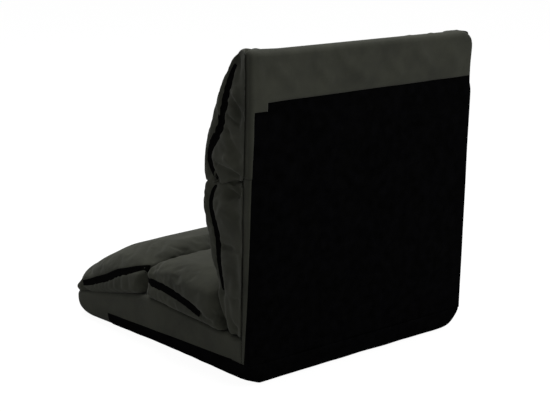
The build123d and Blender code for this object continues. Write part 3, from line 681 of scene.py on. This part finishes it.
def back_covers():
    """The hood over the top, the black rear cloth, and the suede-like cover round the rest.

    On the near side the rear cloth stops short of the board's edge at the top, along a slanting
    seam that turns the edge lower down, and the hood has a tab there; on the far side the cloth
    runs to the edge."""
    form = board_form()
    seam = (Vector((PANEL_EDGE[0], REAR, PANEL_EDGE[1])), Vector((1, -0.3, 0.022)).normalized())
    rear_face = (Vector((0, ahead(0.5 * MM), 0)), Vector((0, 1, 0)))
    tab_edge = PANEL_EDGE[0] - HOOD_TAB[0]
    side_edge = HALF_WIDTH - BOARD_EDGE * 2
    up, right = Vector((0, 0, 1)), Vector((1, 0, 0))

    def hem(x, lap=0.0):
        return HOOD_HEM + lap - (HOOD_TAB[1] if x > tab_edge + lap else 0)

    def on_rear(c):
        behind = c.y > rear_face[0].y or (c.x > tab_edge and c.y > ahead(15 * MM))
        return behind and (c - seam[0]).dot(seam[1]) < 0

    def in_hood(c):
        if on_rear(c):
            return c.z > hem(c.x)
        return c.z > (SIDE_SEAM if abs(c.x) > side_edge else HOOD_HEM)

    def cuts(lap):
        return [(Vector((0, 0, hem(0, lap))), up), (Vector((0, 0, hem(1, lap))), up), seam, rear_face,
                (Vector((tab_edge + lap, 0, 0)), right)]

    sides = [(Vector((0, 0, SIDE_SEAM)), up), (Vector((side_edge, 0, 0)), right),
             (Vector((-side_edge, 0, 0)), right)]
    hood = cut_out(form, "back_hood", cuts(0) + sides, in_hood)
    panel = cut_out(form, "back_rear_cloth", cuts(LAP), lambda c: on_rear(c) and c.z < hem(c.x, LAP))
    cover = cut_out(form, "back_board_cover", cuts(0) + sides, lambda c: not in_hood(c) and not on_rear(c))
    bpy.data.objects.remove(form)
    press_face(hood, HOOD_FOLDS)
    ripple(hood, 55 * MM, 2.6 * MM, 4, rear_side, lift=0.5)
    ripple(panel, 120 * MM, 0.8 * MM, 5)
    co = points_of(panel)
    edge_fall = fade(HALF_WIDTH - np.abs(co[:, 0]), 0, 25 * MM)
    far = fade(-co[:, 0], 0.15, HALF_WIDTH)
    under_hood = 1 - fade(co[:, 2], HOOD_HEM - 30 * MM, HOOD_HEM - 2 * MM)
    foot = 1 - fade(co[:, 2], hinge.z, hinge.z + 60 * MM)
    co[:, 1] += REAR_PUFF_OUT * np.maximum(edge_fall, np.maximum(far, foot)) * under_hood
    co[:, 0] -= 2.5 * MM * fade(-co[:, 0], 0.24, HALF_WIDTH) * under_hood
    set_points(panel, co)
    thicken(panel, CLOTH * PANEL_SHARE, 0.4 * MM)
    thicken(hood, CLOTH, PROUD + 0.5 * MM)
    thicken(cover, CLOTH, 0.3 * MM)
    for piece in (hood, panel, cover):
        lean(piece)
    dress(hood, "suede", ["back_suede_hood"], "back")
    dress(panel, "backing", ["back_backing_cloth"], "back")
    dress(cover, "suede", ["back_suede_cover"], "back")


# ---- cushions ----
def evened(piece, field, rounds):
    """A value at each point, averaged with its neighbours again and again."""
    ends = np.zeros(len(piece.data.edges) * 2, np.int32)
    piece.data.edges.foreach_get("vertices", ends)
    first, second = ends[0::2], ends[1::2]
    count = np.bincount(ends, minlength=len(field))[:, None]
    for _ in range(rounds):
        total = field.copy()
        for k in range(field.shape[1]):
            total[:, k] += np.bincount(first, field[second, k], len(field))
            total[:, k] += np.bincount(second, field[first, k], len(field))
        field = total / (count + 1)
    return field


def fill(piece, sewn, pressure, growth):
    """Fill a cushion: its cloth swells and wrinkles under pressure, held where it is sewn.

    The cushion's overall size is the frame's, so most of the even swelling is taken off again
    and the folds stay."""
    before = points_of(piece)
    group = piece.vertex_groups.new(name="sewn")
    group.add([int(i) for i in np.flatnonzero(sewn)], 1.0, "REPLACE")
    pick(piece)
    modifier = piece.modifiers.new("Cloth", "CLOTH")
    cloth = modifier.settings
    cloth.quality = 5
    cloth.mass = 0.2
    cloth.tension_stiffness = 12
    cloth.compression_stiffness = 12
    cloth.shear_stiffness = 4
    cloth.bending_stiffness = 0.3
    cloth.air_damping = 2
    cloth.use_pressure = True
    cloth.uniform_pressure_force = pressure
    cloth.shrink_min = -growth
    cloth.effector_weights.gravity = 0
    cloth.vertex_group_mass = "sewn"
    modifier.collision_settings.use_collision = False
    modifier.point_cache.frame_end = FILL_FRAMES
    for step in range(1, FILL_FRAMES + 1):
        bpy.context.scene.frame_set(step)
    bpy.ops.object.modifier_apply(modifier=modifier.name)
    bpy.context.scene.frame_set(1)
    piece.vertex_groups.clear()
    moved = points_of(piece) - before
    length = np.linalg.norm(moved, axis=1, keepdims=True)
    moved *= np.minimum(1, FILL_CAP / np.maximum(length, 1e-9))
    set_points(piece, before + moved - FILL_HELD * evened(piece, moved, 60))


def fuller_ends(piece, grown):
    """Fill out a back cushion's two ends, which the solid draws in more than the real one does.

    grown: (up, more depth) in millimetres along the end. The ends also reach further up and down
    round their rims, sag toward the pinch, and on the near side rise at the top."""
    co = points_of(piece)
    half = np.abs(co[:, 0]).max()
    low, high = co[:, 2].min(), co[:, 2].max()
    is_upper = high > HOOD_HEM
    near_end = fade(np.abs(co[:, 0]), half - CREASE_REACH, half - 14 * MM)
    deeper = np.interp(co[:, 2] / MM, *zip(*grown)) * MM
    co[:, 1] -= deeper * near_end * fade(off_board(co), 0, 55 * MM)
    turned = np.clip(1 - (half - np.abs(co[:, 0])) / (28 * MM), 0, 1)
    taller = 10.8 * MM * (1 - np.sqrt(1 - turned**2))
    co[:, 2] += taller * (2 * co[:, 2] - low - high) / (high - low)
    sag = 17 * MM if is_upper else 8 * MM
    at_pinch = fade(75 * MM - np.abs(co[:, 2] - PINCH_HEIGHT), 0, 70 * MM)
    co[:, 2] -= sag * at_pinch * near_end * fade(off_board(co), 0, 75 * MM)
    if is_upper:
        co[:, 2] += 6 * MM * near_end * fade(co[:, 2], high - 60 * MM, high) * (co[:, 0] > 0)
    set_points(piece, co)


def wrap_rim(piece):
    """Bring the rims of a back cushion's ends round over the board's sides."""
    co = points_of(piece)
    side = np.abs(co[:, 0])
    wrap = np.interp(co[:, 2] / MM, *zip(*RIM_WRAP)) * MM
    at_rim = fade(side, HALF_WIDTH - 5 * MM, HALF_WIDTH + 0.5 * MM)
    co[:, 1] += wrap * at_rim * (1 - fade(off_board(co), 2 * MM, 32 * MM))
    behind = (off_board(co) < 0.3 * MM) & (at_rim > 0.02)
    co[behind, 0] = np.sign(co[behind, 0]) * np.maximum(side[behind], HALF_WIDTH + RIM_OUT)
    set_points(piece, co)


def cushion(name, node, base, strip, creases, clear_of=(), grown=None, swell=0.0, growth=0.05):
    """A filled cushion over its CAD solid, with a strip's groove and creases in its ends.

    base: how far points are from what the cushion is sewn to; strip: the strip's route;
    clear_of: cushions that it may not enter; grown: as fuller_ends says, for the back's two;
    swell: how much it is thickened; growth: how much its cloth grows as it fills."""
    piece = copy_of(frame["nodes"][node], name)
    modify(piece, "REMESH", mode="VOXEL", voxel_size=FILL_GRID)
    if grown:
        fuller_ends(piece, grown)
    modify(piece, "SMOOTH", factor=0.5, iterations=10)
    co = points_of(piece)
    at_end = np.abs(co[:, 0]) > np.abs(co[:, 0]).max() - 30 * MM
    on_strip = (distance_to(co[:, 1:], end_line(strip)) < 6 * MM) & at_end
    fill(piece, (base(co) < SEWN_REACH) | on_strip, FILL_PRESSURE, growth)
    co = points_of(piece)
    set_points(piece, co + normals_of(piece) * (swell * fade(base(co), 2 * MM, 12 * MM))[:, None])
    if grown:
        wrap_rim(piece)
    modify(piece, "SUBSURF", levels=1, render_levels=1)
    for side in (1, -1):
        press_end(piece, side, strip, 7, 3.0, 40 * MM)
        for route, width, depth in creases:
            press_end(piece, side, route, width, depth)
    for other in clear_of:
        keep_clear(piece, other)
    dress(piece, "suede", [node])
    return piece


def keep_clear(piece, other, gap=0.6 * MM):
    """Push a cushion's points that would be in another one back out of it."""
    tree, co = tree_of(other), points_of(piece)
    for i, p in enumerate(co):
        place, normal, _, away = tree.find_nearest(Vector(p), 20 * MM)
        if place is not None:
            depth = (Vector(p) - place).dot(normal)
            if depth < gap:
                co[i] = np.array(p) + np.array(normal) * (gap - depth)
    set_points(piece, co)


def over_pad(co):
    """How far points are above the seat pad's top."""
    return co[:, 2] - pad_top(REAR - co[:, 1])


def off_board(co):
    """How far points stand out from the board's front face."""
    front = ahead(BOARD_DEPTH)
    return (front - co[:, 1]) * math.cos(RECLINE) + (co[:, 2] - hinge.z) * math.sin(RECLINE)


# the strips' middle lines and the creases in the ends, as (ahead, up) in millimetres
FRONT_STRIP = [(521, 68), (490, 78), (462, 89), (430, 101), (395, 118), (365, 128), (335, 138), (304, 144)]
REAR_STRIP = [(292, 133), (263, 130), (231, 129), (201, 125), (171, 120), (127, 108)]
LOWER_STRIP = [(69, 164), (78, 208), (82, 251), (88, 272), (96, 288), (103, 309), (98, 331), (88, 345)]
UPPER_STRIP = [(82, 357), (96, 371), (104, 391), (97, 413), (78, 438), (67, 469), (58, 500), (49, 524),
               (41, 543), (34, 556)]
FRONT_CREASES = [([(517, 55), (493, 42)], 9, 4)]
REAR_CREASES = [([(301, 128), (290, 120)], 8, 5), ([(296, 178), (272, 150)], 6, 2.5),
                ([(280, 184), (262, 158)], 6, 2), ([(125, 107), (94, 104)], 3.5, 2)]
LOWER_CREASES = [([(65, 242), (43, 245)], 5, 3), ([(49, 231), (30, 234)], 6, 2),
                 ([(69, 156), (61, 100)], 7, 4), ([(41, 115), (28, 104)], 4, 3),
                 ([(46, 338), (0, 342)], 12, 14)]
UPPER_CREASES = [([(31, 508), (4, 480)], 6, -5), ([(33, 490), (14, 465)], 8, 7),
                 ([(50, 468), (14, 455)], 5, 5), ([(53, 444), (34, 418)], 6, 4),
                 ([(51, 399), (18, 381)], 6, -4), ([(81, 384), (26, 373)], 5, 5),
                 ([(30, 568), (20, 548)], 7, 5)]

# how much deeper the back cushions' ends are than their solids, and how far their rims go
# round over the board's sides, as (up, length) in millimetres
LOWER_GROWN = [(88, 6), (125, 14), (159, 18), (211, 10), (248, 6), (278, 9), (300, 13), (324, 13), (361, 12)]
UPPER_GROWN = [(345, 18), (377, 17), (391, 12), (408, 8), (430, 6), (449, 6), (462, 8), (491, 7),
               (522, 7), (551, 8), (570, 8), (578, 7)]
RIM_WRAP = [(84, 6.5), (162, 8.5), (250, 11), (373, 13), (486, 16), (578, 16)]


def strip_on(name, node, owner, route, side, width, end_share):
    """A black strip lying in its groove on a cushion's end, narrower at its ends."""
    tree = tree_of(owner)
    line = end_line(route)
    along = np.gradient(line, axis=0)
    along /= np.linalg.norm(along, axis=1, keepdims=True)
    rows = []
    for i, (place, run) in enumerate(zip(line, along)):
        along_share = math.sin(math.pi * i / (len(line) - 1)) ** 0.6
        half = width / 2 * (end_share + (1 - end_share) * along_share)
        row = []
        for s in np.linspace(-1, 1, 5):
            y, z = place + np.array((-run[1], run[0])) * half * s
            start = Vector((side * (HALF_WIDTH + 60 * MM), y, z))
            hit = tree.ray_cast(start, Vector((-side, 0, 0)))[0]
            if hit is None or abs(hit.x) < HALF_WIDTH - 45 * MM:
                hit = tree.find_nearest(Vector((side * HALF_WIDTH, y, z)))[0]
            row.append(hit + Vector((side * 0.9 * MM, 0, 0)))
        rows.append(row)
    piece = skin_over(name, rows, ring=False)
    if sum(p.normal.x * side for p in piece.data.polygons) < 0:
        pick(piece)
        bpy.ops.object.mode_set(mode="EDIT")
        bpy.ops.mesh.select_all(action="SELECT")
        bpy.ops.mesh.flip_normals()
        bpy.ops.object.mode_set(mode="OBJECT")
    co = points_of(piece)
    co[:, :1] = evened(piece, co[:, :1], 3)
    set_points(piece, co)
    thicken(piece, CLOTH * TAPE_SHARE)
    dress(piece, "gusset", [node])
    return piece


def flattens(piece, on_seat):
    """Attach a soft piece at the bend to the seat or the back, and give it a mesh of its own."""
    if on_seat:
        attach(piece, "seat")
        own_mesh(piece)
    else:
        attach(piece, "back")
        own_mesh(piece)


def cushions():
    """The four cushions and the strips in their ends."""
    rear = cushion("seat_rear_puff", "seat_rear_cushion", over_pad, REAR_STRIP, REAR_CREASES, growth=0.035)
    front = cushion("seat_front_puff", "seat_front_cushion", over_pad, FRONT_STRIP,
                    FRONT_CREASES, [rear], swell=3 * MM, growth=0.03)
    lower = cushion("back_lower_puff", "back_lower_cushion", off_board, LOWER_STRIP,
                    LOWER_CREASES, [rear], LOWER_GROWN)
    upper = cushion("back_upper_puff", "back_upper_cushion", off_board, UPPER_STRIP,
                    UPPER_CREASES, [lower], UPPER_GROWN)
    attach(front, "seat")
    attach(upper, "back")
    jobs = [("seat_rear", rear, REAR_STRIP, 15 * MM, 0.9),
            ("seat_front", front, FRONT_STRIP, 15 * MM, 0.65),
            ("back_lower", lower, LOWER_STRIP, 14 * MM, 0.2),
            ("back_upper", upper, UPPER_STRIP, 19 * MM, 0.25)]
    for name, owner, route, width, end_share in jobs:
        for side_name, side in (("left", 1), ("right", -1)):
            node = f"{side_name}_{name}_gusset"
            piece = strip_on(f"{side_name}_{name}_strip", node, owner, route, side, width, end_share)
            if name == "seat_front":
                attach(piece, "seat")
            elif name == "back_upper":
                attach(piece, "back")
            else:
                flattens(piece, name == "seat_rear")
    flattens(rear, True)
    flattens(lower, False)


# ---- inside: foam and straps ----
def foam_pads():
    """The foam pieces, a little inside their solids so that their covers lie over them."""
    for node, grid in (("seat_foam_pad", 5 * MM), ("back_foam_pad", 3 * MM), ("corner_foam", 4 * MM)):
        piece = copy_of(frame["nodes"][node], f"{node}_cut")
        modify(piece, "REMESH", mode="VOXEL", voxel_size=grid)
        modify(piece, "SMOOTH", factor=0.5, iterations=3)
        co, normals = points_of(piece), normals_of(piece)
        slack = np.full(len(co), FOAM_SLACK)
        if node == "back_foam_pad":
            slack += 2 * MM * fade(co[:, 2], HOOD_HEM - 20 * MM, HOOD_HEM) * (normals[:, 1] > 0)
        elif node == "seat_foam_pad":
            lower_side = (1 - fade(co[:, 2], 20 * MM, 60 * MM)) * fade(np.abs(co[:, 0]), 0.19, 0.23)
            slack += FOAM_ROOM * lower_side
        else:
            slack += FOAM_ROOM
        set_points(piece, co - normals * slack[:, None])
        if node == "back_foam_pad":
            dress(piece, "foam", [node], "back")
        else:
            dress(piece, "foam", [node])
            bend_with_pad(piece)


def straps():
    """The woven straps, each a separate strip of webbing."""
    for node, body in (("seat_webbing", "seat"), ("back_webbing", "back")):
        whole = copy_of(frame["nodes"][node], f"{node}_strap")
        pick(whole)
        bpy.ops.mesh.separate(type="LOOSE")
        for piece in list(bpy.context.selected_objects):
            corners = points_of(piece)
            modify(piece, "BEVEL", width=0.3 * MM, segments=2)
            dress(piece, "webbing", [node], body)


# ---- camera, floor and light ----
CAMERA_PLACE = (1.619, 1.975, 0.869)
CAMERA_DEGREES = (140.021, 14.052, 0.268)
LENS_ON_36 = 89.01


def camera():
    """The photograph's camera, fitted to it: its place, and azimuth, elevation and roll."""
    made = bpy.data.objects.new("camera", bpy.data.cameras.new("camera"))
    bpy.context.scene.collection.objects.link(made)
    made.data.sensor_width = 36
    made.data.lens = LENS_ON_36
    azimuth, elevation, roll = (math.radians(a) for a in CAMERA_DEGREES)
    turn = Matrix.Rotation(azimuth, 4, "Z") @ Matrix.Rotation(math.pi / 2 - elevation, 4, "X")
    made.matrix_world = Matrix.Translation(CAMERA_PLACE) @ turn @ Matrix.Rotation(roll, 4, "Z")
    made.data.clip_start = 0.05
    bpy.context.scene.camera = made


def lamp(name, place, size, power):
    """A large soft lamp aimed at the middle of the chair."""
    made = bpy.data.objects.new(name, bpy.data.lights.new(name, "AREA"))
    bpy.context.scene.collection.objects.link(made)
    made.data.shape = "DISK"
    made.data.size = size
    made.data.energy = power
    made.location = place
    made.rotation_euler = (Vector((0, 0, 0.25)) - Vector(place)).to_track_quat("-Z", "Y").to_euler()


def floor():
    """A plain pale floor that runs out of view; seen directly it is nearly white."""
    bpy.ops.object.select_all(action="DESELECT")
    bpy.ops.mesh.primitive_plane_add(size=60)
    made = bpy.context.object
    made.name = "floor"
    made.location.z = FLOOR_LEVEL
    material, skin = shader("white_floor", Roughness=0.9, Specular_IOR_Level=0.0)
    skin.inputs["Base Color"].default_value = (0.5, 0.5, 0.5, 1)
    ray = add(material, "ShaderNodeLightPath")
    share = add(material, "ShaderNodeMath", [(0, ray, "Is Camera Ray")], [(1, 0.8)], operation="MULTIPLY")
    glow = add(material, "ShaderNodeEmission", values=[("Color", (1, 1, 1, 1)), ("Strength", 1.2)])
    mix = add(material, "ShaderNodeMixShader", [("Fac", share, 0), (1, skin, 0), (2, glow, 0)])
    surface = material.node_tree.nodes["Material Output"].inputs["Surface"]
    material.node_tree.links.new(mix.outputs[0], surface)
    made.data.materials.append(material)


def world():
    """Even white surroundings, seen as white by the eye and in metal."""
    made = bpy.data.worlds.new("studio")
    bpy.context.scene.world = made
    made.use_nodes = True
    soft = made.node_tree.nodes["Background"]
    soft.inputs["Color"].default_value = (1, 1, 1, 1)
    soft.inputs["Strength"].default_value = 0.3
    seen = add(made, "ShaderNodeBackground", values=[("Color", (1, 1, 1, 1)), ("Strength", 1.0)])
    ray = add(made, "ShaderNodeLightPath")
    direct = add(made, "ShaderNodeMath", [(0, ray, "Is Camera Ray"), (1, ray, "Is Glossy Ray")],
                 operation="MAXIMUM")
    mix = add(made, "ShaderNodeMixShader", [("Fac", direct, 0), (1, soft, 0), (2, seen, 0)])
    made.node_tree.links.new(mix.outputs[0], made.node_tree.nodes["World Output"].inputs["Surface"])


seat_covers()
corner_cloth()
back_covers()
cushions()
foam_pads()
straps()

for entry in frame["record"]["subparts"]:
    if entry["material_slot"] in ("tube", "steel"):
        node = frame["nodes"][entry["node"]]
        node.data.materials.clear()
        node.data.materials.append(materials[entry["material_slot"]])

camera()
lamp("key_light", (-0.6, 2.8, 2.4), 1.6, 52)
lamp("top_light", (-0.2, -0.9, 3.0), 2.0, 75)
floor()
world()
bpy.context.scene.view_settings.view_transform = "Standard"
